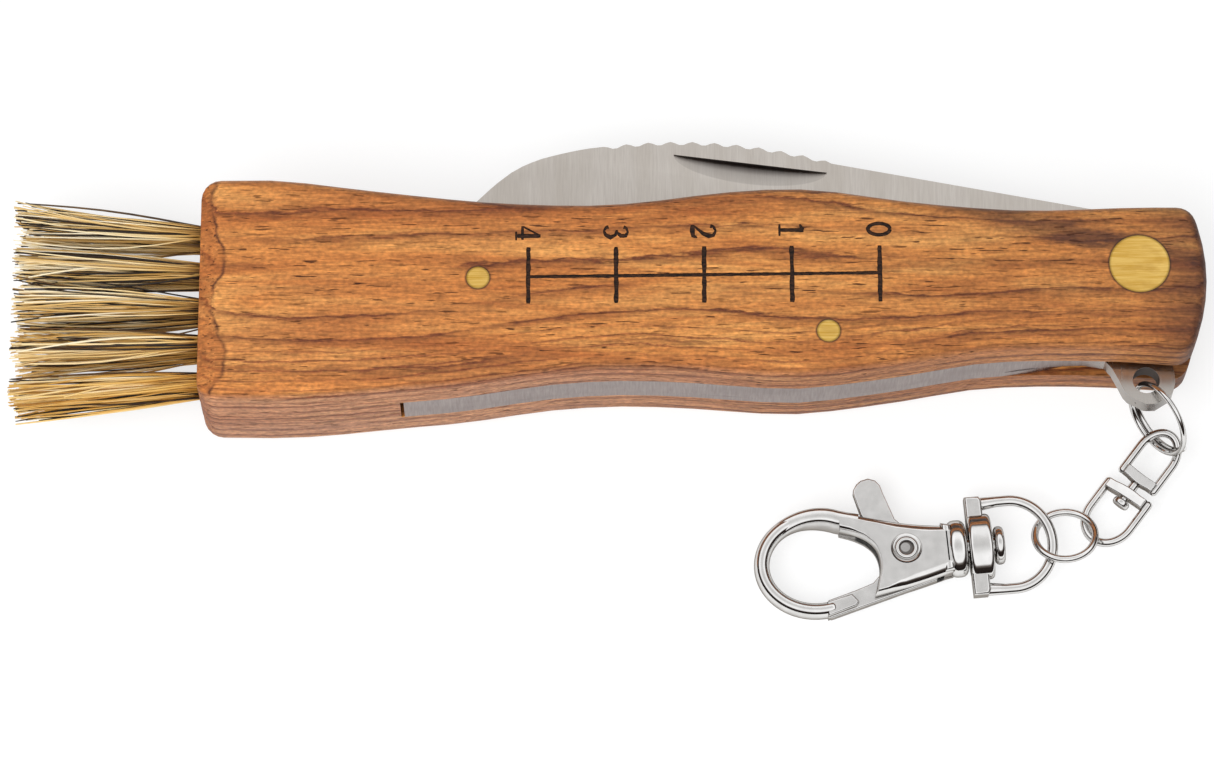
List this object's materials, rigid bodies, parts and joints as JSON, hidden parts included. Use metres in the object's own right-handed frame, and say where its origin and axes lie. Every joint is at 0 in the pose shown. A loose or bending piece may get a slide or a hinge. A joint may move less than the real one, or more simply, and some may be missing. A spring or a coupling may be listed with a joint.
{
  "type": "folding mushroom knife",
  "caption": "Folding mushroom knife with a hooked blade, waisted wooden handle, brush in the butt, and a lanyard tab with a split ring and swivel clasp.",
  "frame": {"origin": "on the flat rear face of the handle, halfway along the handle", "axes": "+X along the handle from the brush to the blade's pivot, +Y to the side where the blade opens, +Z through the thickness to the face with the ruler"},
  "size_m": [0.1366, 0.0558, 0.0156],
  "materials": {
    "wood": "oiled hardwood with dark pores, satin",
    "plate_steel": "ground steel plate",
    "blade_steel": "satin, brushed across the blade",
    "brass": "brushed brass",
    "bristle": "natural bristle, straw to dark brown",
    "nickel": "bright nickel plate"
  },
  "bodies": {
    "handle": {"handle_block": "wood", "rear_liner": "plate_steel", "front_liner": "plate_steel", "back_spring": "plate_steel", "pivot_rivet": "brass", "rear_spring_pin": "brass", "middle_spring_pin": "brass", "rear_bristles": "bristle", "front_bristles": "bristle", "rear_tuft_anchor_1": "plate_steel", "rear_tuft_anchor_2": "plate_steel", "rear_tuft_anchor_3": "plate_steel", "rear_tuft_anchor_4": "plate_steel", "rear_tuft_anchor_5": "plate_steel", "front_tuft_anchor_1": "plate_steel", "front_tuft_anchor_2": "plate_steel", "front_tuft_anchor_3": "plate_steel", "front_tuft_anchor_4": "plate_steel", "front_tuft_anchor_5": "plate_steel"},
    "blade": {"blade": "blade_steel"},
    "split_ring": {"split_ring": "nickel"},
    "upper_swivel_link": {"upper_swivel_link": "nickel"},
    "lower_swivel_link": {"lower_swivel_link": "nickel"},
    "jump_ring": {"jump_ring": "nickel"},
    "clasp_eye": {"clasp_eye": "nickel"},
    "clasp": {"clasp_body": "nickel", "clasp_rivet": "nickel", "lever_spring": "plate_steel"},
    "lever": {"clasp_lever": "nickel"}
  },
  "joints": [
    {"name": "blade_hinge", "type": "hinge", "parent": "handle", "child": "blade", "pos_m": [0.0496, 0.0032, 0.0078], "axis": [0, 0, -1], "range_deg": [0, 172]},
    {"name": "split_ring_swing", "type": "hinge", "parent": "handle", "child": "split_ring", "pos_m": [0.0506, -0.0086, 0.0078], "axis": [0, 0, 1], "range_deg": [-3, 40]},
    {"name": "upper_link_swing", "type": "hinge", "parent": "split_ring", "child": "upper_swivel_link", "pos_m": [0.0527, -0.0143, 0.00275], "axis": [0.7774, -0.5034, 0.3773], "range_deg": [-12, 55]},
    {"name": "swivel_turn", "type": "hinge", "parent": "upper_swivel_link", "child": "lower_swivel_link", "pos_m": [0.04942, -0.01919, 0.0022], "axis": [-0.6047, -0.7881, -0.1149], "continuous": true},
    {"name": "jump_ring_swing", "type": "hinge", "parent": "lower_swivel_link", "child": "jump_ring", "pos_m": [0.0443, -0.024, 0.0011], "axis": [0.3678, -0.9094, 0.1941], "range_deg": [-18, 40]},
    {"name": "eye_swing", "type": "hinge", "parent": "jump_ring", "child": "clasp_eye", "pos_m": [0.039, -0.0255, 0.0025], "axis": [0.1334, -0.9178, 0.374], "range_deg": [-18, 25]},
    {"name": "clasp_swivel", "type": "hinge", "parent": "clasp_eye", "child": "clasp", "pos_m": [0.03207, -0.02646, 0.0025], "axis": [0.9962, 0.0872, 0], "continuous": true},
    {"name": "lever_press", "type": "hinge", "parent": "clasp", "child": "lever", "pos_m": [0.0231, -0.02725, 0.0025], "axis": [0, 0, -1], "range_deg": [0, 22], "stiffness_Nm_per_rad": 0.03, "springref_deg": -34.38}
  ]
}
